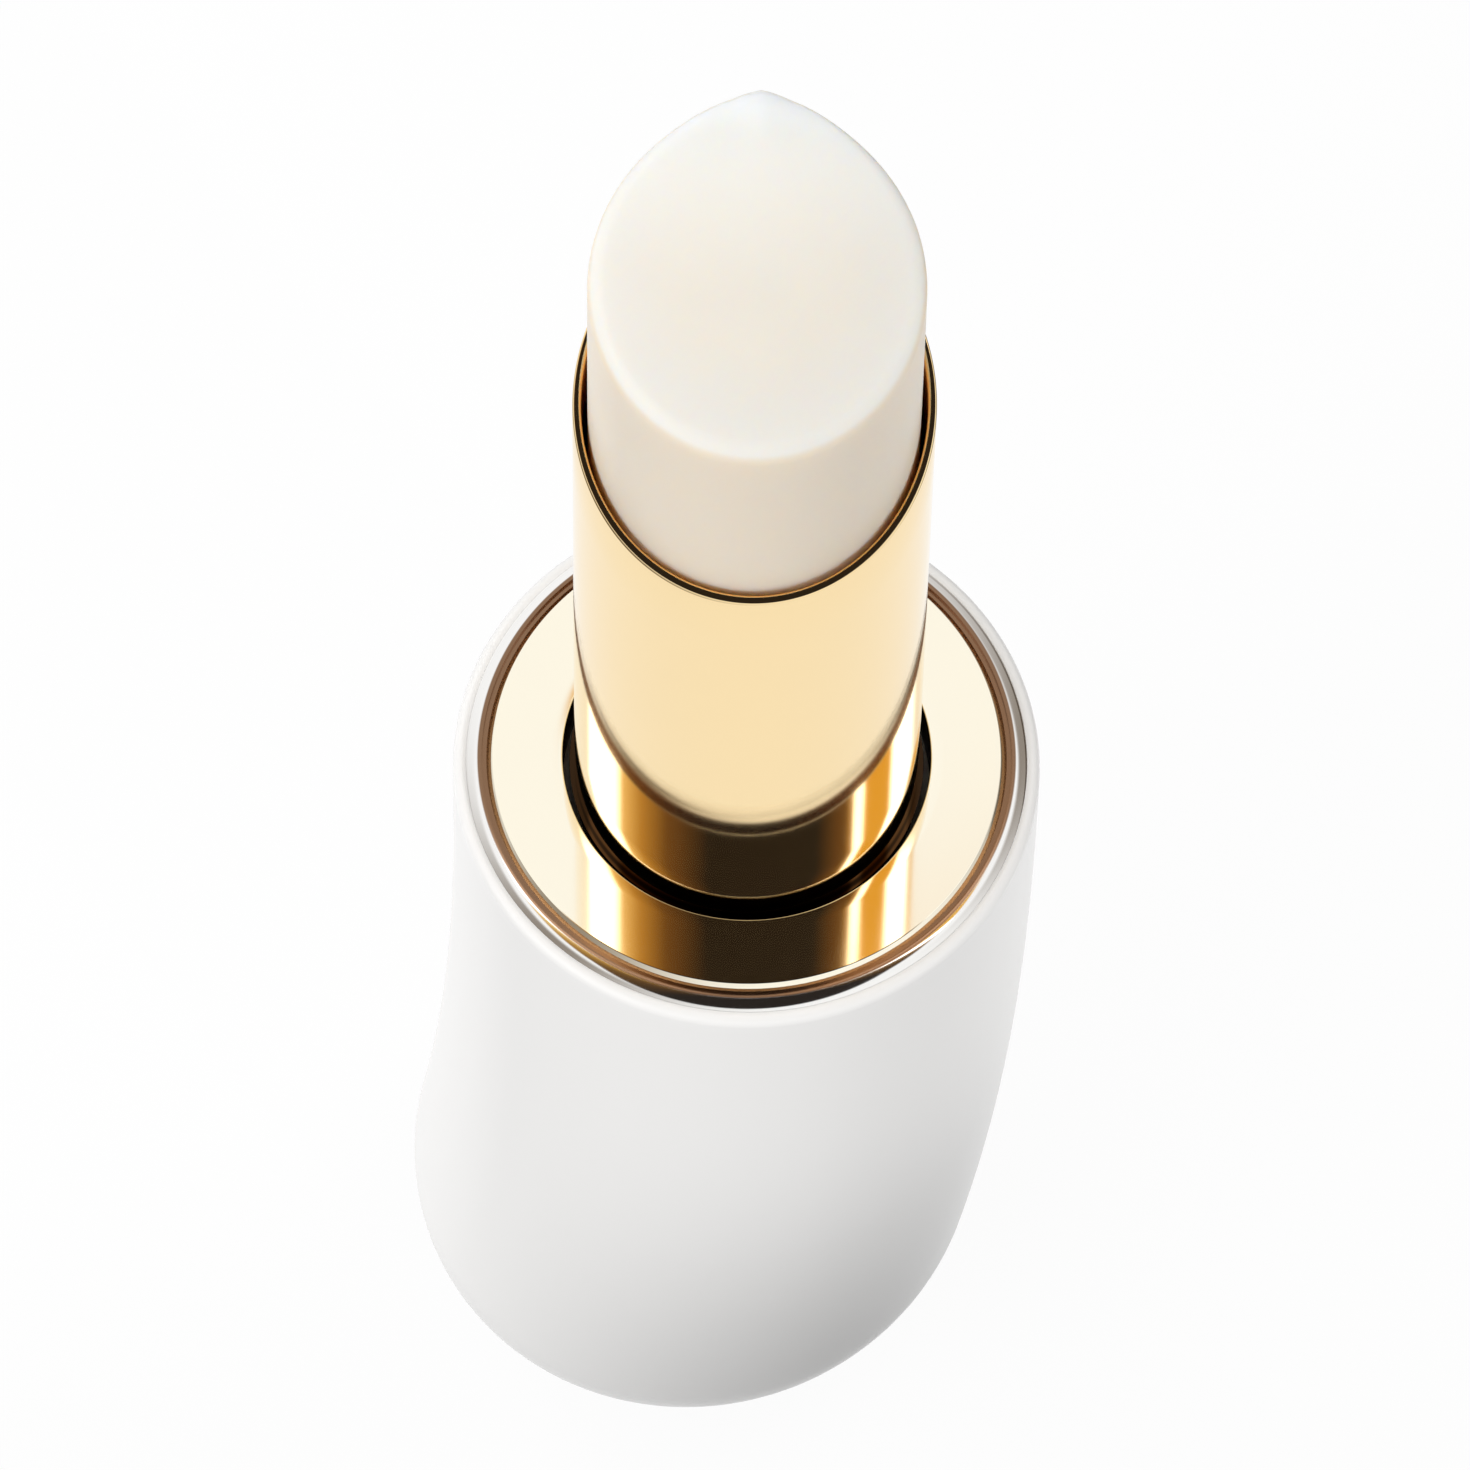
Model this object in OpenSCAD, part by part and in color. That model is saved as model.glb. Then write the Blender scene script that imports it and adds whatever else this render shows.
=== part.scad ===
// Twist-up lip balm stick: a leaning lacquered case, a gilt deck and a slant-cut gilt sleeve.
// The origin lies on the sleeve's axis in the plane of the foot. +Z is up, and the sleeve's
// low lip faces -Y. The case leans towards -X on its way down.
// Turning the sleeve raises the balm: the carrier's lugs run in upright slots of the guide
// tube and in the helical grooves of the cam sleeve. Everything is drawn half wound out.

/* [Case] */
// Height of the deck above the foot
deck_h = 41; // [40:0.5:50]
// Radius of the case just below its shoulder
case_r = 11.25; // [11.2:0.05:13]
// Radius of the case where its bottom rounding starts
belly_r = 11.4; // [11.3:0.05:13]
// Wall of the case below its mouth, and its floor
case_wall = 1.25; // [1.15:0.05:1.3]
// Wall of the case at its mouth
mouth_wall = 1; // [0.8:0.05:1.1]
// Rounding between the side and the foot
base_round = 6.3; // [5:0.1:7.5]
// Rounding between the side and the mouth
shoulder_round = 0.42; // [0.4:0.01:0.75]
// How far below the deck the mouth of the case ends
mouth_drop = 0.42; // [0.3:0.01:0.6]
// How far the foot stands to the side of the sleeve's axis
lean = 2.75; // [0:0.05:2.9]

/* [Deck] */
// Gap between the sleeve and the hole in the deck
hole_gap = 0.44; // [0.3:0.02:0.6]
// Thickness of the deck's sheet
deck_t = 0.4; // [0.3:0.05:0.5]
// Length of the collar that lines the hole, from the deck's face down
collar_h = 2.2; // [1.6:0.1:2.6]
// Width of the deck's bevelled lip
lip_w = 0.26; // [0.1:0.01:0.4]
// How far the lip falls towards its edge
lip_drop = 0.28; // [0.05:0.01:0.4]
// Width of the groove between the deck and the polished ring
groove_w = 0.15; // [0.12:0.01:0.4]
// Width of the polished ring
ring_w = 0.6; // [0.25:0.01:0.7]
// How far below the deck the ring rests on the case
ring_h = 0.85; // [0.8:0.05:1]

/* [Sleeve] */
// Outer radius of the sleeve
sleeve_r = 6.6; // [6.4:0.05:6.8]
// Wall of the sleeve
sleeve_wall = 0.32; // [0.25:0.01:0.4]
// Height of the slanted rim above the deck, on the axis
rim_h = 27.9; // [24:0.1:30]
// Slant of the rim
rim_angle = 25; // [0:1:35]

/* [Balm] */
// Radius of the balm
balm_r = 6.05; // [5.9:0.05:6.15]
// Height of the balm's seat in the cup above the deck, half wound out
balm_seat_h = 7.5; // [5:0.1:9]
// Height of the face's front edge above the deck, half wound out
face_front_h = 35; // [32:0.1:37]
// Rise of the slanted face from front to back
face_rise = 3.9; // [2:0.1:5]
// Extra rise of the peak at the back
peak_rise = 1.6; // [0.4:0.1:2]

/* [Mechanism] */
// Climb of the carrier in one turn of the sleeve
lead = 18; // [16:0.5:20]
// Travel of the carrier down from where it is drawn
travel_down = 11; // [6:0.5:12]
// Travel of the carrier up from where it is drawn
travel_up = 9.5; // [4:0.5:11.5]
// Depth of the lugs below the deck, half wound out
lug_depth = 17; // [15.5:0.1:18]
// Radius of a lug
lug_r = 0.95; // [0.7:0.05:1]
// Wall of the guide tube round the sleeve's end
socket_wall = 0.4; // [0.3:0.02:0.45]
// Wall of the cam sleeve
cam_wall = 1; // [0.95:0.05:1.1]
// Depth of the helical grooves in the cam sleeve
groove_depth = 0.62; // [0.55:0.01:0.66]
// Depth of the cup that holds the balm
cup_h = 6.5; // [5:0.1:8]
// Wall of the cup
cup_wall = 0.53; // [0.4:0.01:0.6]

/* [Fits] */
// Least gap between the core's lower rim and the leaning wall of the case
core_gap = 0.05; // [0.03:0.01:0.12]
// Radial clearance between parts that slide
slide_gap = 0.1; // [0.06:0.01:0.14]
// Radial clearance of the guide tube in the cam sleeve
run_gap = 0.08; // [0.05:0.01:0.1]
// Gap of bonded parts
bond_gap = 0.02; // [0.01:0.01:0.04]
// Gap on each side of the guide tube's thrust flange
thrust_gap = 0.1; // [0.06:0.01:0.15]

/* [Hidden] */

// Round faces of turned parts
$fn = 96;
// Corners of a section of the case, outside and inside
case_sides = 64;
bowl_sides = 48;
// Sections along the straight part of the case and along a rounding
side_steps = 18;
round_steps = 9;
// Points of a rounded edge in an outline
edge_steps = 5;
// Exponent of the lean: the case is upright at its mouth and bends ever more to its foot
lean_power = 2.6;
// Overrun of all cuts
over = 0.5;

// Guide tube and the sleeve's socket in it. Depths are measured down from the deck.
// A band round the sleeve's foot rests on the tube, and a cap's seat starts at the band.
hole_r = sleeve_r + hole_gap;
band_step = 0.18;
band_rise = 0.1;
band_r = sleeve_r + band_step;
bore_r = sleeve_r - sleeve_wall;
socket_r = sleeve_r + bond_gap;
guide_r = socket_r + socket_wall;
flange_lap = 0.65;
flange_r = guide_r + flange_lap;
flange_t = 0.5;
flange_depth = collar_h + thrust_gap;
slot_end_gap = 0.15;
slot_depth = lug_depth - travel_up - lug_r - slot_end_gap;
socket_land = 0.6;
socket_depth = slot_depth - socket_land;
slot_end_depth = lug_depth + travel_down + lug_r + slot_end_gap;
guide_tail = 1.75;
guide_end_depth = slot_end_depth + guide_tail;

// Brake ring at the tail of the guide tube
brake_h = 0.8;
brake_t = 0.3;
brake_touch = 0.01;
brake_lift = 0.3;
brake_end_depth = guide_end_depth - brake_lift;
brake_depth = brake_end_depth - brake_h;

// Cam sleeve
cam_in_r = guide_r + run_gap;
cam_r = cam_in_r + cam_wall;
cam_depth = flange_depth + flange_t + thrust_gap;
cam_end_depth = guide_end_depth + thrust_gap;
groove_r = cam_in_r + groove_depth;
groove_side_gap = 0.15;
groove_half = lug_r + groove_side_gap;
groove_step = 10;
groove_end = 12;

// Core: its flange rests on a ledge in the case, its rim reaches to the leaning wall of the
// case, and its foot carries the cam sleeve
core_bore_r = cam_r + bond_gap;
core_wall = 0.5;
core_r = core_bore_r + core_wall;
core_lip = 0.2;
core_depth = cam_depth - core_lip;
core_flange_t = 1.5;
ledge_depth = core_depth + core_flange_t;
core_step = 0.5;
core_foot_r = core_bore_r - core_step;
core_step_t = 0.5;
core_step_depth = cam_end_depth + bond_gap;
core_low_depth = core_step_depth + core_step_t;
core_rim_r = side_r(core_low_depth) - case_wall + lean_at(core_low_depth) - core_gap;
core_foot_h = 2;
core_end_depth = cam_end_depth + core_foot_h;

// Weight below the core
weight_gap = 0.1;
weight_depth = core_end_depth + bond_gap;
spigot_h = 1.2;

// Mouth and foot of the case
mouth_bore_r = case_r - mouth_wall;
foot_r = belly_r - base_round;
disc_rim = 0.95;
disc_t = 0.3;
disc_r = foot_r - disc_rim;

// Ring and deck. The ring's top is bowed, and its outer edge meets the land at the mouth.
mouth_land = 0.06;
ring_r = case_r - shoulder_round - mouth_land - bond_gap;
ring_in_r = ring_r - ring_w;
ring_top = 0.1;
bow_share = 1.5;
bow_r = bow_share * ring_w;
bow_low_angle = 40;
bow_high_angle = 82;
ring_neck = 0.25;
channel_depth = ring_h - ring_neck;
skirt_wall = 0.38;
skirt_gap = 0.05;
skirt_r = mouth_bore_r - bond_gap;
skirt_in_r = skirt_r - skirt_wall;
deck_r = ring_in_r - groove_w;
deck_rim_depth = channel_depth - bond_gap;
hole_edge = 0.12;
collar_wall = 0.35;

// Ring magnet under the deck
magnet_gap = 0.05;
magnet_in_r = flange_r + thrust_gap + magnet_gap;
magnet_r = deck_r - deck_t - magnet_gap;

// Carrier and balm
piston_r = bore_r - slide_gap;
stem_wall = 0.68;
cup_floor = 0.8;
stem_tail = 1.3;
lug_r_in = piston_r - stem_wall / 2;
lug_tip_gap = 0.1;
lug_r_out = groove_r - lug_tip_gap;
plug_gap = 0.03;
cup_in_r = piston_r - cup_wall;
cup_rim_h = balm_seat_h + cup_h;
face_steps = 20;
// The peak's share of the face's rise grows with this power of the way to the back
peak_power = 14;

// Place and radius of the case at a depth
function lean_at(depth) = -lean * pow(max(depth, 0) / deck_h, lean_power);
function side_r(depth) =
    case_r + (belly_r - case_r) * (depth - mouth_drop) / (deck_h - base_round - mouth_drop);

// Sections [radius, depth] of the case from its foot up, inset from its outer face
function bottom_sections(inset) = [
    for (i = [round_steps:-1:0])
        let (a = 90 * i / round_steps)
        [belly_r - base_round + (base_round - inset) * cos(a),
         deck_h - base_round + (base_round - inset) * sin(a)]];
function side_sections(inset, top) = [
    for (i = [1:side_steps])
        let (low = deck_h - base_round, depth = low - (low - top) * i / side_steps)
        [side_r(depth) - inset, depth]];
function shoulder_sections() = [
    for (i = [1:round_steps])
        let (a = 90 * i / round_steps)
        [case_r - shoulder_round * (1 - cos(a)),
         mouth_drop + shoulder_round * (1 - sin(a))]];

// A ring of points for each section, shifted along the lean
function section_rings(sections, sides) = [
    for (s = sections)
        [for (j = [0:sides - 1])
            let (a = 360 * j / sides)
            [lean_at(s[1]) + s[0] * cos(a), s[0] * sin(a), deck_h - s[1]]]];

// Closed skin over rings that have the same number of points, each ring turning
// anticlockwise when it is seen from the side of the next one
module skin(rings) {
    n = len(rings[0]);
    m = len(rings);
    walls = [
        for (i = [0:m - 2])
            for (j = [0:n - 1])
                let (a = i * n + j, b = i * n + (j + 1) % n, c = b + n, d = a + n)
                each [[a, d, c], [a, c, b]]];
    first = [for (j = [0:n - 1]) j];
    last = [for (j = [n - 1:-1:0]) (m - 1) * n + j];
    polyhedron(points = [for (ring = rings) each ring],
               faces = concat(walls, [first, last]), convexity = 6);
}

// Points of an arc round [x, y], from angle a0 to angle a1
function arc(x, y, r, a0, a1) = [
    for (i = [0:edge_steps])
        let (a = a0 + (a1 - a0) * i / edge_steps)
        [x + r * cos(a), y + r * sin(a)]];

// Tube between two depths below the deck
module tube(r_out, r_in, top, end) {
    translate([0, 0, deck_h - end])
        difference() {
            cylinder(r = r_out, h = end - top);
            translate([0, 0, -over])
                cylinder(r = r_in, h = end - top + 2 * over);
        }
}

module outer_case() {
    color("white")
        difference() {
            skin(section_rings(
                concat(bottom_sections(0), side_sections(0, mouth_drop + shoulder_round),
                       shoulder_sections()), case_sides));
            skin(section_rings(
                concat(bottom_sections(case_wall), side_sections(case_wall, ledge_depth - over)),
                bowl_sides));
            translate([0, 0, deck_h - ledge_depth])
                cylinder(r = mouth_bore_r, h = ledge_depth);
            translate([0, 0, deck_h - ring_h])
                cylinder(r = ring_r + bond_gap, h = ring_h);
            translate([-lean, 0, -over])
                cylinder(r = disc_r + bond_gap, h = disc_t + bond_gap + over);
        }
}

module mouth_ring() {
    skirt_end = core_depth - skirt_gap;
    outline = concat(
        [[skirt_in_r, -skirt_end],
         [skirt_r, -skirt_end],
         [skirt_r, -ring_h],
         [ring_r, -ring_h]],
        arc(ring_r - bow_r * cos(bow_low_angle), -ring_top - bow_r * sin(bow_high_angle),
            bow_r, bow_low_angle, bow_high_angle),
        [[ring_in_r, -ring_top],
         [ring_in_r, -channel_depth],
         [skirt_in_r, -channel_depth]]);
    color("silver")
        translate([0, 0, deck_h])
            rotate_extrude()
                polygon(outline);
}

module top_plate() {
    outline = concat(
        [[hole_r, -collar_h],
         [hole_r + collar_wall, -collar_h],
         [hole_r + collar_wall, -deck_t],
         [deck_r - deck_t, -deck_t],
         [deck_r - deck_t, -deck_rim_depth],
         [deck_r, -deck_rim_depth],
         [deck_r, -lip_drop],
         [deck_r - lip_w, 0]],
        arc(hole_r + hole_edge, -hole_edge, hole_edge, 90, 180));
    color("gold")
        translate([0, 0, deck_h])
            rotate_extrude()
                polygon(outline);
}

module closure_magnet() {
    color("gray")
        tube(magnet_r, magnet_in_r, deck_t + magnet_gap, core_depth);
}

module inner_core() {
    color("gainsboro")
        union() {
            tube(core_r, core_bore_r, core_depth, core_low_depth);
            tube(skirt_r, core_bore_r, core_depth, ledge_depth);
            tube(core_rim_r, core_foot_r, core_step_depth, core_low_depth);
            tube(core_bore_r, core_foot_r, core_step_depth, core_end_depth);
        }
}

// One helical groove for the lug that stands at angle start
module groove(start) {
    down = 360 * travel_down / lead + groove_end;
    up = 360 * travel_up / lead + groove_end;
    steps = ceil((down + up) / groove_step);
    skin([
        for (i = [0:steps])
            let (turn = -down + (down + up) * i / steps,
                 a = start + turn,
                 z = deck_h - lug_depth + lead * turn / 360,
                 low = z - groove_half,
                 high = z + groove_half,
                 r_in = cam_in_r - over)
            [[r_in * cos(a), r_in * sin(a), low],
             [r_in * cos(a), r_in * sin(a), high],
             [groove_r * cos(a), groove_r * sin(a), high],
             [groove_r * cos(a), groove_r * sin(a), low]]]);
}

module cam_sleeve() {
    color("ivory")
        difference() {
            tube(cam_r, cam_in_r, cam_depth, cam_end_depth);
            for (start = [0, 180])
                groove(start);
        }
}

module base_weight() {
    floor_sections = [
        for (s = bottom_sections(case_wall + weight_gap))
            if (s[1] > weight_depth) s];
    top_section = [side_r(weight_depth) - case_wall - weight_gap, weight_depth];
    color("dimgray")
        union() {
            skin(section_rings(
                concat(floor_sections, [top_section]), bowl_sides));
            translate([0, 0, deck_h - weight_depth - over])
                cylinder(r = core_foot_r - bond_gap, h = spigot_h + over);
        }
}

module base_disc() {
    color("whitesmoke")
        translate([-lean, 0, 0])
            cylinder(r = disc_r, h = disc_t);
}

module gold_sleeve() {
    reach = rim_h + sleeve_r * tan(rim_angle) + over;
    color("gold")
        difference() {
            union() {
                tube(sleeve_r, bore_r, -reach, socket_depth - bond_gap);
                tube(band_r, bore_r, -band_rise, flange_depth);
            }
            translate([0, 0, deck_h + rim_h])
                rotate([rim_angle, 0, 0])
                    translate([-2 * sleeve_r, -2 * sleeve_r, 0])
                        cube([4 * sleeve_r, 4 * sleeve_r, reach]);
        }
}

module guide_tube() {
    slot_half = lug_r + slide_gap;
    color("ivory")
        difference() {
            union() {
                tube(guide_r, bore_r, flange_depth, guide_end_depth);
                tube(flange_r, bore_r, flange_depth, flange_depth + flange_t);
            }
            translate([0, 0, deck_h - socket_depth])
                cylinder(r = socket_r, h = socket_depth);
            for (side = [0, 180])
                rotate([0, 0, side])
                    translate([bore_r / 2, -slot_half, deck_h - slot_end_depth])
                        cube([bore_r, 2 * slot_half, slot_end_depth - slot_depth]);
            tube(guide_r + over, guide_r - brake_t, brake_depth, brake_end_depth);
        }
}

module brake_ring() {
    inset = bond_gap / 2;
    color("dimgray")
        tube(cam_in_r - brake_touch, guide_r - brake_t + bond_gap,
             brake_depth + inset, brake_end_depth - inset);
}

module carrier_cup() {
    color("ivory")
        translate([0, 0, deck_h])
            difference() {
                union() {
                    translate([0, 0, -lug_depth - stem_tail])
                        cylinder(r = piston_r, h = lug_depth + stem_tail + cup_rim_h);
                    for (side = [0, 180])
                        rotate([0, 0, side])
                            translate([lug_r_in, 0, -lug_depth])
                                rotate([0, 90, 0])
                                    cylinder(r = lug_r, h = lug_r_out - lug_r_in);
                }
                translate([0, 0, balm_seat_h])
                    cylinder(r = cup_in_r, h = cup_h + over);
                translate([0, 0, -lug_depth - stem_tail - over])
                    cylinder(r = piston_r - stem_wall,
                             h = lug_depth + stem_tail + over + balm_seat_h - cup_floor);
            }
}

// Height of the face above the deck, at a share of the way from front to back
function face_h(share) =
    face_front_h + face_rise * share + peak_rise * pow(share, peak_power);

module balm() {
    neck_h = cup_rim_h + bond_gap;
    crest = [
        for (i = [0:face_steps])
            let (share = 1 - pow(1 - i / face_steps, 2))
            [balm_r * (2 * share - 1), face_h(share)]];
    color("ivory")
        translate([0, 0, deck_h])
            union() {
                translate([0, 0, balm_seat_h + bond_gap])
                    cylinder(r = cup_in_r - plug_gap, h = cup_h + over);
                intersection() {
                    translate([0, 0, neck_h])
                        cylinder(r = balm_r, h = face_h(1) - neck_h + over);
                    rotate([90, 0, 90])
                        translate([0, 0, -balm_r - over])
                            linear_extrude(height = 2 * (balm_r + over))
                                polygon(concat(
                                    [[balm_r + over, neck_h - over],
                                     [-balm_r - over, neck_h - over],
                                     [-balm_r - over, face_h(0)]],
                                    crest,
                                    [[balm_r + over, face_h(1)]]));
                }
            }
}

outer_case();
mouth_ring();
top_plate();
closure_magnet();
inner_core();
cam_sleeve();
base_weight();
base_disc();
gold_sleeve();
guide_tube();
brake_ring();
carrier_cup();
balm();
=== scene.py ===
"""Dresses a twist-up lip balm stick: lacquered case, gilt deck and sleeve, wax balm."""

import math

import bmesh
import bpy
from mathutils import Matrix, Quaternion, Vector


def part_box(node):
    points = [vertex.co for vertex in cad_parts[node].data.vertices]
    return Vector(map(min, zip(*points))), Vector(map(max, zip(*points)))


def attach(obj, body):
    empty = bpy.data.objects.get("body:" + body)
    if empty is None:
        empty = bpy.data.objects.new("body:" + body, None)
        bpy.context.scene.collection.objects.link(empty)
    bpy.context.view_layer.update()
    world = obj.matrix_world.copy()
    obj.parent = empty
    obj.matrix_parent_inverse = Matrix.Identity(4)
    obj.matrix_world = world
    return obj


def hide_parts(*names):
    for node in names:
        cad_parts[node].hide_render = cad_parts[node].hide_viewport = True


bl_info = {
    "name": "Lip Balm Stick",
    "version": (1, 0, 0),
    "blender": (4, 5, 0),
    "location": "View3D > Sidebar > Lip Balm",
    "description": "Lacquered case, gilt deck and sleeve, and wax balm of a twist-up stick",
    "category": "Add Mesh",
}

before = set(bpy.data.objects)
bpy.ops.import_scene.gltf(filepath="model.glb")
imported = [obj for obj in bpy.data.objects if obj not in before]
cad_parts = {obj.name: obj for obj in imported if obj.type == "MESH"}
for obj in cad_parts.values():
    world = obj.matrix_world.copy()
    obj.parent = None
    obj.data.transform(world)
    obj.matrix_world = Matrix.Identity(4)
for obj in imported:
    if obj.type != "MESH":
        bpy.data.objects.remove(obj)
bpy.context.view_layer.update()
DECK_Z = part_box("top_plate")[1].z
MM = 0.001


# Node trees


class Wire:
    """One output of a node. Arithmetic on it adds Math nodes to its tree."""

    def __init__(self, graph, socket):
        self.graph = graph
        self.socket = socket

    def math(self, operation, *values):
        return self.graph.node("ShaderNodeMath", {"operation": operation}, dict(enumerate(values)))

    def __add__(self, other):
        return self.math("ADD", self, other)

    def __sub__(self, other):
        return self.math("SUBTRACT", self, other)

    def __rsub__(self, other):
        return self.math("SUBTRACT", other, self)

    def __mul__(self, other):
        return self.math("MULTIPLY", self, other)

    def __truediv__(self, other):
        return self.math("DIVIDE", self, other)

    def __rtruediv__(self, other):
        return self.math("DIVIDE", other, self)

    def __pow__(self, other):
        return self.math("POWER", self, other)

    def __neg__(self):
        return self.math("MULTIPLY", self, -1.0)

    __radd__ = __add__
    __rmul__ = __mul__

    def floor(self):
        return self.math("FLOOR", self)

    def cos(self):
        return self.math("COSINE", self)

    def sin(self):
        return self.math("SINE", self)

    def at_least(self, other):
        return self.math("MAXIMUM", self, other)

    def at_most(self, other):
        return self.math("MINIMUM", self, other)

    def unit(self):
        """The value kept between 0 and 1."""
        return self.at_least(0.0).at_most(1.0)

    def ramp(self, start, end):
        """0 before start, 1 after end, and smooth between them."""
        return self.graph.node(
            "ShaderNodeMapRange",
            {"interpolation_type": "SMOOTHSTEP"},
            {0: self, 1: start, 2: end, 3: 0.0, 4: 1.0},
        )


class Graph:
    """Adds nodes to one node tree."""

    def __init__(self, tree):
        self.tree = tree

    def node(self, kind, settings=None, values=None, output=0):
        """Adds a node of that type: its settings first, then its sockets' values or links."""
        node = self.tree.nodes.new(kind)
        for key, value in (settings or {}).items():
            if key == "stops":
                ramp = node.color_ramp
                while len(ramp.elements) < len(value):
                    ramp.elements.new(0.5)
                for element, (place, color) in zip(ramp.elements, value):
                    element.position = place
                    element.color = color
            else:
                setattr(node, key, value)
        for key, value in (values or {}).items():
            socket = node.inputs[key]
            if isinstance(value, Wire):
                self.tree.links.new(value.socket, socket)
            else:
                socket.default_value = value
        if not node.outputs:
            return node
        return Wire(self, node.outputs[output])

    def mix(self, factor, first, second):
        """A colour between first and second."""
        return self.node(
            "ShaderNodeMix", {"data_type": "RGBA"}, {0: factor, 6: first, 7: second}, output=2
        )

    def noise(self, place, size, detail=2.0, roughness=0.5):
        """Cloudy noise whose features are about size metres wide."""
        return self.node(
            "ShaderNodeTexNoise",
            {},
            {"Vector": place, "Scale": 1 / size, "Detail": detail, "Roughness": roughness},
        )

    def place(self):
        return self.node("ShaderNodeTexCoord", output="Object")

    def bump(self, height, strength, distance):
        return self.node(
            "ShaderNodeBump", {}, {"Height": height, "Strength": strength, "Distance": distance}
        )


def turned_tree():
    """Geometry Nodes tree that turns an outline round Z, leans it and slants its top."""
    tree = bpy.data.node_groups.new("Turned Piece", "GeometryNodeTree")
    sockets = (
        ("Outline", "NodeSocketGeometry", None),
        ("Sides", "NodeSocketInt", 192),
        ("Deck Height", "NodeSocketFloat", DECK_Z),
        ("Lean", "NodeSocketFloat", 0.0),
        ("Lean Power", "NodeSocketFloat", 1.0),
        ("Slant Foot", "NodeSocketFloat", 0.0),
        ("Slant Top", "NodeSocketFloat", 1.0),
        ("Slant Radius", "NodeSocketFloat", 1.0),
        ("Rise", "NodeSocketFloat", 0.0),
        ("Peak Rise", "NodeSocketFloat", 0.0),
        ("Peak Power", "NodeSocketFloat", 1.0),
        ("Ridge", "NodeSocketFloat", 0.0),
        ("Ridge Width", "NodeSocketFloat", 1.0),
        ("Material", "NodeSocketMaterial", None),
    )
    for name, kind, default in sockets:
        socket = tree.interface.new_socket(name, in_out="INPUT", socket_type=kind)
        if default is not None:
            socket.default_value = default
    tree.interface.new_socket("Piece", in_out="OUTPUT", socket_type="NodeSocketGeometry")
    g = Graph(tree)
    entry = tree.nodes.new("NodeGroupInput")
    given = {name: Wire(g, entry.outputs[name]) for name, _, _ in sockets}

    stations = g.node(
        "GeometryNodeAttributeDomainSize", {"component": "MESH"}, {"Geometry": given["Outline"]}
    )
    columns = given["Sides"] + 1
    grid = g.node(
        "GeometryNodeMeshGrid",
        {},
        {"Size X": 1.0, "Size Y": 1.0, "Vertices X": stations, "Vertices Y": columns},
    )
    index = g.node("GeometryNodeInputIndex")
    station = ((index + 0.5) / columns).floor()
    column = index - station * columns
    point = g.node(
        "GeometryNodeSampleIndex",
        {"data_type": "FLOAT_VECTOR"},
        {
            "Geometry": given["Outline"],
            "Value": g.node("GeometryNodeInputPosition"),
            "Index": station,
        },
    )
    radius = g.node("ShaderNodeSeparateXYZ", {}, {0: point}, output=0)
    height = g.node("ShaderNodeSeparateXYZ", {}, {0: point}, output=2)
    angle = column * math.tau / given["Sides"]
    x = radius * angle.cos()
    y = radius * angle.sin()

    deck = given["Deck Height"]
    depth = (deck - height).at_least(0.0)
    lean = given["Lean"] * (depth / deck) ** given["Lean Power"]
    foot = given["Slant Foot"]
    weight = ((height - foot) / (given["Slant Top"] - foot)).unit()
    share = ((y / given["Slant Radius"] + 1.0) / 2.0).unit()
    across = x.math("ABSOLUTE", x) / given["Ridge Width"]
    peak = given["Peak Rise"] + given["Ridge"] * (1 - across).unit()
    rise = given["Rise"] * share + peak * share ** given["Peak Power"]
    spot = g.node("ShaderNodeCombineXYZ", {}, {0: x - lean, 1: y, 2: height + rise * weight})

    shape = g.node("GeometryNodeSetPosition", {}, {"Geometry": grid, "Position": spot})
    shape = g.node("GeometryNodeMergeByDistance", {}, {"Geometry": shape, "Distance": 1e-6})
    shape = g.node("GeometryNodeRealizeInstances", {}, {"Geometry": shape})
    shape = g.node(
        "GeometryNodeSetMaterial", {}, {"Geometry": shape, "Material": given["Material"]}
    )
    g.node("NodeGroupOutput", {}, {"Piece": shape})
    return tree


# Making pieces


def arc(x, z, radius, start, end, steps=8):
    """Points of an arc round (x, z), with its angles in degrees."""
    angles = [math.radians(start + (end - start) * i / steps) for i in range(steps + 1)]
    return [(x + radius * math.cos(a), z + radius * math.sin(a)) for a in angles]


def run(first, last, steps):
    """Evenly spaced points between two points, without the two themselves."""
    return [
        tuple(a + (b - a) * i / steps for a, b in zip(first, last)) for i in range(1, steps)
    ]


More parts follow.
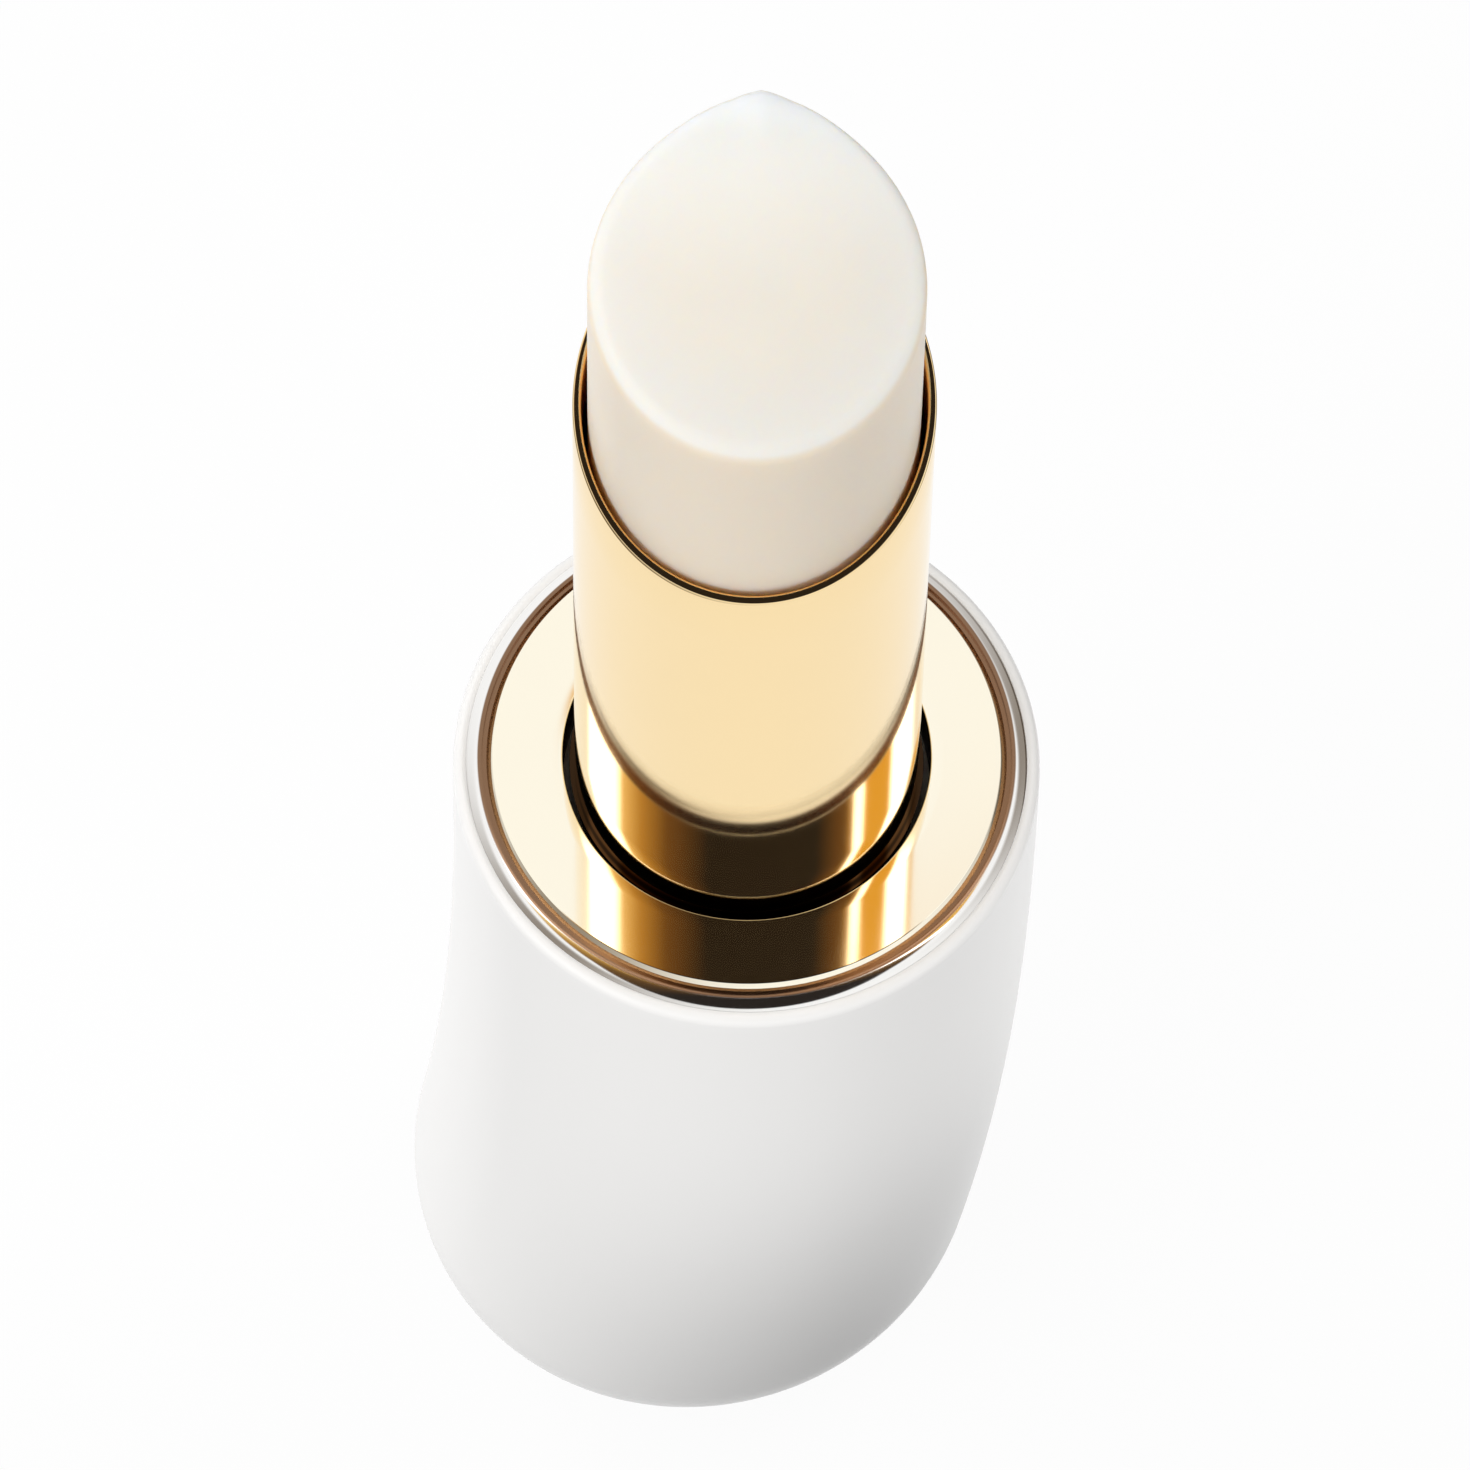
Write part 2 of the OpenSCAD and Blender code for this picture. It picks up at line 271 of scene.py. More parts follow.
def turned(name, outline, material, body, slot, nodes, sharp=35.0, **inputs):
    """Turns an outline of (radius, height) points and puts it in place of CAD nodes."""
    tree = bpy.data.node_groups.get("Turned Piece") or turned_tree()
    points = [(radius, 0.0, height) for radius, height in outline]
    flat = bpy.data.meshes.new(name + "_outline")
    flat.from_pydata(points, [(i, i + 1) for i in range(len(points) - 1)], [])
    maker = bpy.data.objects.new(name + "_outline", flat)
    bpy.context.scene.collection.objects.link(maker)
    modifier = maker.modifiers.new("Turned", "NODES")
    modifier.node_group = tree
    wanted = {"Material": material, **{k.replace("_", " ").title(): v for k, v in inputs.items()}}
    for socket in tree.interface.items_tree:
        if socket.in_out == "INPUT" and socket.name in wanted:
            modifier[socket.identifier] = wanted[socket.name]
    depsgraph = bpy.context.evaluated_depsgraph_get()
    shape = bpy.data.meshes.new_from_object(maker.evaluated_get(depsgraph))
    bpy.data.objects.remove(maker)
    shape.name = name
    work = bmesh.new()
    work.from_mesh(shape)
    bmesh.ops.recalc_face_normals(work, faces=work.faces)
    work.to_mesh(shape)
    work.free()
    shape.shade_smooth()
    shape.set_sharp_from_angle(angle=math.radians(sharp))
    piece = bpy.data.objects.new(name, shape)
    bpy.context.scene.collection.objects.link(piece)
    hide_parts(*nodes)
    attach(piece, body)
    return piece


# Finishes


def finish(name, paint):
    """A material whose Principled shader gets what paint(graph, place) returns."""
    material, g = bare(name)
    shader = g.node("ShaderNodeBsdfPrincipled", {}, paint(g, g.place()))
    g.node("ShaderNodeOutputMaterial", {}, {"Surface": shader})
    return material


def rgba(color):
    return (*color[:3], 1.0)


def shade(color, by):
    """The colour made lighter or darker by a share."""
    return tuple(min(1.0, c * (1 + by)) for c in color[:3]) + (1.0,)


def lacquer(color):
    """White lacquer with a faint orange peel under a clear gloss."""

    def paint(g, place):
        cloud = g.noise(place, 9 * MM, 3.0)
        peel = g.noise(place, 0.7 * MM, 1.0)
        return {
            "Base Color": g.mix(cloud, shade(color, -0.012), shade(color, 0.008)),
            "Roughness": cloud * 0.08 + 0.36,
            "Coat Weight": 0.55,
            "Coat Roughness": 0.16,
            "Normal": g.bump(peel, 0.05, 0.01 * MM),
        }

    return finish("white_lacquer", paint)


def spread(g, place):
    """Distance from the sleeve's axis."""
    x = g.node("ShaderNodeSeparateXYZ", {}, {0: place}, output=0)
    y = g.node("ShaderNodeSeparateXYZ", {}, {0: place}, output=1)
    return (x * x + y * y) ** 0.5


def gilding(name, color, roughness, *layers):
    """Polished metal under layers of other colour and roughness, some of them painted shade: each
    is a colour, an added roughness and a mask(graph, place).
    """

    def paint(g, place):
        haze = g.noise(place, 2.5 * MM, 4.0, 0.6)
        grain = g.noise(place, 0.12 * MM, 2.0)
        shine = g.mix(haze, shade(color, -0.012), shade(color, 0.008))
        gloss = haze * 0.03 + roughness
        for layer_color, dullness, mask in layers:
            covered = mask(g, place)
            shine = g.mix(covered, shine, rgba(layer_color))
            gloss = gloss + covered * dullness
        return {
            "Base Color": shine,
            "Metallic": 1.0,
            "Roughness": gloss,
            "Normal": g.bump(grain, 0.02, 0.002 * MM),
        }

    return finish(name, paint)


def moulded(name, color, roughness, grain_size, grain_depth):
    """Plain moulded plastic or silicone with a fine even grain."""

    def paint(g, place):
        cloud = g.noise(place, 5 * MM, 2.0)
        grain = g.noise(place, grain_size, 2.0)
        return {
            "Base Color": g.mix(cloud, shade(color, -0.05), shade(color, 0.03)),
            "Roughness": cloud * 0.12 + roughness,
            "Normal": g.bump(grain, 0.25, grain_depth),
        }

    return finish(name, paint)


def metal_cast(name, color, roughness):
    """Bare metal, plated or cast, with a grain that shows in its gloss."""

    def paint(g, place):
        cloud = g.noise(place, 3 * MM, 3.0)
        grain = g.noise(place, 0.3 * MM, 3.0)
        return {
            "Base Color": g.mix(cloud, shade(color, -0.08), shade(color, 0.05)),
            "Metallic": 1.0,
            "Roughness": grain * 0.2 + roughness,
            "Normal": g.bump(grain, 0.3, 0.02 * MM),
        }

    return finish(name, paint)


def wax(s):
    """Waxy balm that lets light in: cooler towards its face's edge, lighter towards the tip as a
    painted highlight, and darker and warmer on its side as painted shade.
    """

    def paint(g, place):
        cloud = g.noise(place, 3.2 * MM, 2.0)
        pores = g.noise(place, 0.35 * MM, 3.0)
        height = g.node("ShaderNodeSeparateXYZ", {}, {0: place}, output=2)
        out = spread(g, place)
        # Painted highlight: this mask turns the wax lighter towards the peak.
        peak = height.ramp(DECK_Z + s.front + s.rise * 0.5, DECK_Z + s.front + s.rise + s.peak)
        rim = out.ramp(s.radius * 0.4, s.radius - s.edge / 2)
        face = g.mix(cloud, shade(s.color, -0.015), shade(s.color, 0.015))
        face = g.mix(rim, face, rgba(s.cool))
        face = g.mix(peak, face, rgba(s.tip_highlight))
        # Painted shade: this mask makes the side of the balm darker and warmer than its face.
        side = out.ramp(s.radius - s.edge / 4, s.radius - s.edge / 30)
        return {
            "Base Color": g.mix(side, face, rgba(s.side_shade)),
            "Roughness": pores * 0.1 + 0.36,
            "Subsurface Weight": 1.0,
            "Subsurface Radius": (1.0, 0.82, 0.6),
            "Subsurface Scale": 1.6 * MM,
            "Coat Weight": 0.15,
            "Coat Roughness": 0.3,
            "Normal": g.bump(pores, 0.12, 0.02 * MM),
        }

    return finish("balm_wax", paint)


# What a user can change


def length(name, description, millimetres):
    return bpy.props.FloatProperty(
        name=name, description=description, default=millimetres * MM, unit="LENGTH", precision=5
    )


def tint(name, description, color):
    return bpy.props.FloatVectorProperty(
        name=name, description=description, default=color, subtype="COLOR", size=3, min=0, max=1
    )


def share_of(name, description, default):
    return bpy.props.FloatProperty(
        name=name, description=description, default=default, min=0, max=1, subtype="FACTOR"
    )


class CaseSettings(bpy.types.PropertyGroup):
    """Sizes and colour of the lacquered case."""

    mouth_r: length("Mouth radius", "Radius of the case just below its shoulder", 11.25)
    belly_r: length("Belly radius", "Radius of the case where its foot starts to round", 11.4)
    base_round: length("Foot rounding", "Rounding between the side and the foot", 6.3)
    shoulder_round: length("Shoulder rounding", "Rounding between side and mouth", 0.42)
    mouth_drop: length("Mouth drop", "Depth of the mouth's edge below the deck", 0.42)
    seat_r: length("Ring seat radius", "Radius of the mouth round the ring", 10.755)
    wall: length("Wall", "Wall of the case below its mouth", 1.25)
    mouth_wall: length("Mouth wall", "Wall of the case at its mouth", 1.0)
    seat: length("Ring seat", "Depth of the ring's seat below the deck", 0.85)
    ledge: length("Ledge", "Depth of the ledge inside, below the deck", 4.2)
    recess_r: length("Foot recess radius", "Radius of the recess for the foot's disc", 4.17)
    recess: length("Foot recess", "Depth of the recess for the foot's disc", 0.32)
    lean: length("Lean", "How far the foot stands to the side of the sleeve's axis", 2.75)
    lean_power: bpy.props.FloatProperty(
        name="Lean power", description="How late the lean sets in on the way down", default=2.6
    )
    color: tint("Lacquer", "Colour of the lacquer", (0.84, 0.832, 0.82))


class DeckSettings(bpy.types.PropertyGroup):
    """Sizes and colours of the deck and the polished ring."""

    hole_r: length("Hole radius", "Radius of the hole for the sleeve", 7.04)
    deck_r: length("Deck radius", "Radius of the deck", 10.0)
    thickness: length("Sheet", "Thickness of the deck's sheet", 0.4)
    collar: length("Collar", "Length of the collar that lines the hole", 2.2)
    collar_wall: length("Collar wall", "Wall of the collar", 0.35)
    lip_w: length("Lip width", "Width of the bevelled lip", 0.26)
    lip_drop: length("Lip drop", "How far the lip falls towards its edge", 0.28)
    rim: length("Rim", "Depth of the turned-down rim", 0.58)
    edge: length("Edge rounding", "Rounding of the hole's edge", 0.07)
    ring_r: length("Ring radius", "Outer radius of the polished ring", 10.75)
    ring_in_r: length("Ring inner radius", "Inner radius of the polished ring", 10.15)
    ring_top: length("Ring drop", "How far the ring lies below the deck", 0.1)
    ring_bow: length("Ring bow", "Radius of the bow of the ring's top", 0.9)
    # Painted shade: width of the dark brown band on the ring's inner edge, where shade falls
    # between deck and ring.
    ring_shade_width: length("Ring edge", "Width of the ring's dark inner edge", 0.13)
    ring_channel: length("Ring channel", "Depth of the groove inside the ring", 0.25)
    skirt_r: length("Skirt radius", "Radius of the ring's skirt in the mouth", 10.23)
    skirt_in_r: length("Skirt inner radius", "Inner radius of the ring's skirt", 9.85)
    skirt: length("Skirt depth", "Depth of the skirt's end below the deck", 2.65)
    # The deck's gold is paler than the sleeve's: partly its own gilt, partly a painted highlight.
    gold: tint("Gold of the deck", "Colour of the gilt deck", (0.99, 0.93, 0.775))
    # Painted shade: near-black colour for the collar inside the hole, where shade falls in the gap
    # round the sleeve.
    gap_shade: tint("Shadowed collar", "Colour of the darkened collar in the hole", (0.035, 0.018, 0.008))
    silver: tint("Silver", "Colour of the polished ring", (0.92, 0.91, 0.89))
    # Painted shade: dark brown colour of the ring's inner edge, where shade falls between deck and
    # ring.
    ring_edge_shade: tint("Darkening", "Colour of the ring's inner edge", (0.25, 0.145, 0.085))


class SleeveSettings(bpy.types.PropertyGroup):
    """Sizes and colour of the gilt sleeve."""

    radius: length("Radius", "Outer radius of the sleeve", 6.6)
    wall: length("Wall", "Wall of the sleeve", 0.32)
    foot: length("Socket", "Depth of the sleeve's end below the deck", 5.78)
    band_r: length("Band radius", "Radius of the band that rests on the guide tube", 6.78)
    band_top: length("Band top", "Depth of the band's top below the deck", 0.6)
    band_end: length("Band end", "Depth of the band's lower end below the deck", 2.3)
    rim: length("Rim height", "Height of the slanted rim above the deck, on the axis", 27.9)
    slant: bpy.props.FloatProperty(
        name="Slant", description="Slant of the rim", default=math.radians(25), subtype="ANGLE"
    )
    gold: tint("Gold of the sleeve", "Colour of the gilt sleeve", (0.956, 0.745, 0.42))
    bore: tint("Gold of the bore", "Colour of the sleeve's inner wall", (0.95, 0.5, 0.14))
    # Painted shade: near-black colour for the sleeve below the deck, where shade falls in the gap
    # in the deck's hole.
    gap_shade: tint("Shadowed foot", "Colour of the sleeve below the deck", (0.035, 0.018, 0.008))


class BalmSettings(bpy.types.PropertyGroup):
    """Sizes and colours of the wax balm."""

    radius: length("Radius", "Radius of the balm", 6.05)
    plug_r: length("Plug radius", "Radius of the plug in the cup", 5.62)
    seat: length("Seat", "Height of the plug's end above the deck", 7.52)
    neck: length("Neck", "Height of the cup's rim above the deck", 14.02)
    front: length("Front edge", "Height of the face's front edge above the deck", 34.97)
    rise: length("Rise", "Rise of the face from front to back", 4.1)
    peak: length("Peak", "Extra rise of the peak at the back", 1.2)
    peak_power: bpy.props.FloatProperty(
        name="Peak power", description="How near the back the peak sets in", default=17.7
    )
    ridge: length("Ridge", "Height of the small ridge on the peak", 0.38)
    ridge_w: length("Ridge width", "Half width of the small ridge on the peak", 1.1)
    edge: length("Edge rounding", "Rounding of the face's edge", 0.7)
    crown: length("Crown", "How far the face bulges in its middle", 0.55)
    color: tint("Wax", "Colour of the middle of the face", (0.815, 0.775, 0.7))
    cool: tint("Cool wax", "Colour of the wax towards the face's edge", (0.79, 0.775, 0.735))
    # Painted highlight: the lighter colour of the wax at the peak.
    tip_highlight: tint("Tip", "Colour of the wax at the peak", (0.89, 0.9, 0.88))
    # Painted shade: the darker, warmer colour of the balm's side.
    side_shade: tint("Warm wax", "Colour of the side of the balm", (0.78, 0.695, 0.575))


class StageSettings(bpy.types.PropertyGroup):
    """Camera, light and floor."""

    distance: length("Camera distance", "Distance of the camera from the deck", 450)
    elevation: bpy.props.FloatProperty(
        name="Camera elevation",
        description="Angle of the camera above the horizon",
        default=math.radians(62.965),
        subtype="ANGLE",
    )
    lens: bpy.props.FloatProperty(
        name="Lens", description="Focal length in millimetres", default=287.9, min=1
    )
    fill: share_of("Fill", "Strength of the even light from all round", 0.18)
    bounce: share_of("Bounce", "How much light the floor throws back at the stick", 0.15)
    screen_r: length("Screen radius", "Radius of the screen that the metal reflects", 100)
    screen_h: length("Screen height", "Height of the screen that the metal reflects", 130)
    dusk: tint("Dusk", "Colour of the screen's two strips", (0.3, 0.26, 0.22))
    shade: bpy.props.FloatProperty(
        name="Shade",
        description="Turn of the screen's strips from the right-hand side",
        default=math.radians(30),
        subtype="ANGLE",
    )


# Operators


class Maker:
    """What all the operators here share."""

    bl_options = {"REGISTER", "UNDO"}

    def execute(self, context):
        self.make(context.scene)
        return {"FINISHED"}


class LIPBALM_OT_case(Maker, bpy.types.Operator):
    """Makes the leaning lacquered case"""

    bl_idname = "lipbalm.case"
    bl_label = "Lacquered Case"

    def make(self, scene):
        s = scene.lipbalm_case
        low = s.base_round
        top = DECK_Z - s.mouth_drop
        seat = DECK_Z - s.seat
        ledge = DECK_Z - s.ledge

        def side(z):
            way = (top - z) / (top - low)
            return s.mouth_r + (s.belly_r - s.mouth_r) * way

        corner = (s.mouth_r - s.shoulder_round, top - s.shoulder_round)
        bottom = arc(s.belly_r - s.base_round, low, s.base_round, -90, 0, 24)
        inside = arc(s.belly_r - s.base_round, low, s.base_round - s.wall, 0, -90, 12)
        shoulder = arc(*corner, s.shoulder_round, 0, 90, 12)
        inner_top = (side(ledge) - s.wall, ledge)
        outline = [
            (0.0, s.recess),
            (s.recess_r, s.recess),
            (s.recess_r, 0.0),
            *bottom,
            *run(bottom[-1], shoulder[0], 48),
            *shoulder,
            (s.seat_r, top),
            (s.seat_r, seat),
            (s.mouth_r - s.mouth_wall, seat),
            (s.mouth_r - s.mouth_wall, ledge),
            inner_top,
            *run(inner_top, inside[0], 24),
            *inside,
            (0.0, s.wall),
        ]
        turned(
            "lacquered_case", outline, lacquer(s.color), "base", "white_lacquer",
            ["outer_case"], sides=224, lean=s.lean, lean_power=s.lean_power,
        )


class LIPBALM_OT_ring(Maker, bpy.types.Operator):
    """Makes the polished ring round the deck"""

    bl_idname = "lipbalm.ring"
    bl_label = "Polished Ring"

    def make(self, scene):
        s = scene.lipbalm_deck
        seat = DECK_Z - scene.lipbalm_case.seat
        crest = DECK_Z - s.ring_top
        low, high = 40, 82
        x = s.ring_r - s.ring_bow * math.cos(math.radians(low))
        z = crest - s.ring_bow * math.sin(math.radians(high))
        outline = [
            (s.skirt_in_r, DECK_Z - s.skirt),
            (s.skirt_r, DECK_Z - s.skirt),
            (s.skirt_r, seat),
            (s.ring_r, seat),
            *arc(x, z, s.ring_bow, low, high, 12),
            (s.ring_in_r, crest),
            (s.ring_in_r, DECK_Z - s.ring_channel),
            (s.skirt_in_r, DECK_Z - s.ring_channel),
            (s.skirt_in_r, DECK_Z - s.skirt),
        ]

        # Painted shade: this mask darkens the ring's inner edge, where shade falls between the
        # deck and the ring.
        def shaded_inner_edge(g, place):
            out = spread(g, place) - s.ring_in_r
            return 1 - out.ramp(s.ring_shade_width, 1.5 * s.ring_shade_width)

        material = gilding("polished_ring", s.silver, 0.08, (s.ring_edge_shade, 0.1, shaded_inner_edge))
        turned(
            "polished_ring", outline, material, "base", "polished_ring", ["mouth_ring"], sides=256,
        )


class LIPBALM_OT_deck(Maker, bpy.types.Operator):
    """Makes the gilt deck with its bevelled lip and its hole"""

    bl_idname = "lipbalm.deck"
    bl_label = "Gilt Deck"

    def make(self, scene):
        s = scene.lipbalm_deck
        soft = s.lip_w / 18
        outline = [
            (s.hole_r, DECK_Z - s.collar),
            (s.hole_r + s.collar_wall, DECK_Z - s.collar),
            (s.hole_r + s.collar_wall, DECK_Z - s.thickness),
            (s.deck_r - s.thickness, DECK_Z - s.thickness),
            (s.deck_r - s.thickness, DECK_Z - s.rim),
            (s.deck_r, DECK_Z - s.rim),
            (s.deck_r, DECK_Z - s.lip_drop - soft),
            (s.deck_r - soft, DECK_Z - s.lip_drop + soft / 2),
            (s.deck_r - s.lip_w + soft, DECK_Z - soft),
            (s.deck_r - s.lip_w - soft, DECK_Z),
            *run((s.deck_r - s.lip_w - soft, DECK_Z), (s.hole_r + s.edge, DECK_Z), 6),
            *arc(s.hole_r + s.edge, DECK_Z - s.edge, s.edge, 90, 180, 6),
            (s.hole_r, DECK_Z - s.collar),
        ]

        # Painted shade: this mask darkens the collar inside the hole, where shade falls in the gap
        # round the sleeve, and makes it rougher.
        def shaded_hole_mask(g, place):
            height = g.node("ShaderNodeSeparateXYZ", {}, {0: place}, output=2)
            deep = 1 - height.ramp(DECK_Z - s.edge / 2, DECK_Z - s.edge / 20)
            return deep * (1 - spread(g, place).ramp(s.hole_r + s.edge, s.hole_r + 2 * s.edge))

        material = gilding("gold_deck", s.gold, 0.05, (s.gap_shade, 0.3, shaded_hole_mask))
        turned(
            "gilt_deck", outline, material, "base", "gold_deck", ["top_plate"], sides=256,
            sharp=20.0,
        )


class LIPBALM_OT_sleeve(Maker, bpy.types.Operator):
    """Makes the gilt sleeve with its slanted rim"""

    bl_idname = "lipbalm.sleeve"
    bl_label = "Gilt Sleeve"

    def make(self, scene):
        s = scene.lipbalm_sleeve
        inner = s.radius - s.wall
        climb = s.radius * math.tan(s.slant)
        rim = DECK_Z + s.rim - climb
        half = s.wall / 2
        soft = half * 0.55
        lip = [
            *arc(s.radius - soft, rim - soft, soft, 0, 90, 5),
            *arc(inner + soft, rim - soft, soft, 90, 180, 5),
        ]
        foot = DECK_Z - s.foot
        outline = [
            (inner, foot),
            (s.radius, foot),
            (s.radius, DECK_Z - s.band_end),
            (s.band_r, DECK_Z - s.band_end),
            (s.band_r, DECK_Z - s.band_top),
            (s.radius, DECK_Z - s.band_top),
            *run((s.radius, DECK_Z - s.band_top), lip[0], 8),
            *lip,
            *run(lip[-1], (inner, foot), 8),
            (inner, foot),
        ]

        def in_bore(g, place):
            return 1 - spread(g, place).ramp(inner + s.wall / 8, inner + s.wall / 3)

        # Painted shade: this mask darkens the sleeve below the deck, inside the shaded gap in the
        # deck's hole.
        def shaded_below_deck(g, place):
            height = g.node("ShaderNodeSeparateXYZ", {}, {0: place}, output=2)
            return 1 - height.ramp(DECK_Z - s.band_top * 0.8, DECK_Z - s.band_top * 0.3)

        material = gilding(
            "gold_sleeve", s.gold, 0.05, (s.bore, 0.3, in_bore), (s.gap_shade, 0.0, shaded_below_deck)
        )
        turned(
            "gilt_sleeve", outline, material, "tube", "gold_sleeve", ["gold_sleeve"], sides=256,
            slant_foot=DECK_Z, slant_top=rim - soft, slant_radius=s.radius, rise=2 * climb,
        )


class LIPBALM_OT_balm(Maker, bpy.types.Operator):
    """Makes the wax balm with its slanted face"""

    bl_idname = "lipbalm.balm"
    bl_label = "Wax Balm"

    def make(self, scene):
        s = scene.lipbalm_balm
        top = DECK_Z + s.front
        corner = (s.radius - s.edge, top - s.edge)
        flat = s.radius - s.edge
        crown = [
            (flat * (1 - i / 16), top + s.crown * (1 - (1 - i / 16) ** 2)) for i in range(1, 17)
        ]
        outline = [
            (0.0, DECK_Z + s.seat),
            (s.plug_r, DECK_Z + s.seat),
            (s.plug_r, DECK_Z + s.neck),
            (s.radius, DECK_Z + s.neck),
            *run((s.radius, DECK_Z + s.neck), (s.radius, top - s.edge), 24),
            *arc(*corner, s.edge, 0, 90, 10),
            *crown,
        ]
        turned(
            "wax_balm", outline, wax(s), "carrier", "balm_wax", ["balm"],
            sides=192, slant_foot=DECK_Z + s.neck, slant_top=top - s.edge,
            slant_radius=s.radius, rise=s.rise, peak_rise=s.peak, peak_power=s.peak_power,
            ridge=s.ridge, ridge_width=s.ridge_w,
        )


class LIPBALM_OT_inner_parts(Maker, bpy.types.Operator):
    """Gives the pieces inside the stick their materials"""

    bl_idname = "lipbalm.inner_parts"
    bl_label = "Inner Parts"

    def make(self, scene):
        black, natural = (0.02, 0.02, 0.021), (0.7, 0.685, 0.62)
        ivory, white = (0.66, 0.64, 0.58), (0.72, 0.71, 0.67)
        pale, grey = (0.72, 0.715, 0.7), (0.07, 0.07, 0.072)
        looks = {
            "closure_magnet": metal_cast("plated_magnet", (0.6, 0.59, 0.57), 0.18),
            "base_weight": metal_cast("cast_weight", (0.42, 0.42, 0.43), 0.38),
            "inner_core": moulded("core_plastic", black, 0.4, 0.25 * MM, 0.01 * MM),
            "cam_sleeve": moulded("cam_plastic", natural, 0.38, 0.3 * MM, 0.008 * MM),
            "guide_tube": moulded("guide_plastic", ivory, 0.35, 0.3 * MM, 0.008 * MM),
            "brake_ring": moulded("silicone", grey, 0.55, 0.2 * MM, 0.01 * MM),
            "carrier_cup": moulded("carrier_plastic", white, 0.34, 0.3 * MM, 0.008 * MM),
            "base_disc": moulded("foot_disc", pale, 0.45, 0.2 * MM, 0.02 * MM),
        }
        for node, material in looks.items():
            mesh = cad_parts[node].data
            mesh.materials.clear()
            mesh.materials.append(material)


IMAGE_SIDE = 1470
LENS_AXIS = (746.7, 754.4)
CAMERA_ROLL = math.radians(1.297)

WHITE = (1, 1, 1, 1)
SOFTBOX_SIZE = 0.6
SOFTBOX_AWAY = 0.85
SOFTBOXES = (
    # name, azimuth and elevation in degrees, watts
    ("key", -50, 25, 4.5),
    ("side", -90, 25, 2.1),
    ("back_left", -130, 35, 2.5),
    ("back_right", 130, 35, 3.25),
)
SNOOT = ("snoot", 38.5, 15, 8.0)
SNOOT_AWAY = 0.6
SNOOT_BEAM = math.radians(8.9)
SNOOT_BLEND = 0.63
SNOOT_SIZE = 0.012
SNOOT_AIM = Vector((-3.6 * MM, 0, DECK_Z + 10.6 * MM))

FLOOR_SIDE = 6.0
FLOOR_DROP = 0.02 * MM
FLOOR_COLOR = (0.85, 0.85, 0.85, 1)
FLOOR_GLOW = 0.95

FLAG_AWAY = 0.8
FLAG_RADIUS = 1.15
FLAG_CARD = (0.46, 0.54)
FLAG_WING = (0.6, 0.7)
FLAG_HOLE = (0.07, 0.12)
LAMP = (2.6, 2.6, 2.6, 1)
PALE_GOLD = (0.9, 0.62, 0.25, 1)
AMBER = (0.8, 0.43, 0.06, 1)
HONEY = (0.5, 0.27, 0.06, 1)
OCHRE = (0.5, 0.28, 0.08, 1)
BROWN = (0.16, 0.08, 0.025, 1)
BLACK = (0.024, 0.019, 0.016, 1)
FLAG_BANDS = (
    # azimuth in degrees from the camera's side, colour
    (-180, WHITE), (-136, WHITE), (-130, LAMP), (-98, LAMP), (-90, PALE_GOLD), (-72, HONEY),
    (-50, BROWN), (-22, BLACK), (46, BLACK), (68, BROWN), (74, OCHRE), (77, LAMP), (83, LAMP),
    (87, AMBER), (112, AMBER), (118, LAMP), (142, LAMP), (150, WHITE), (157, AMBER),
    (172, AMBER), (180, WHITE),
)


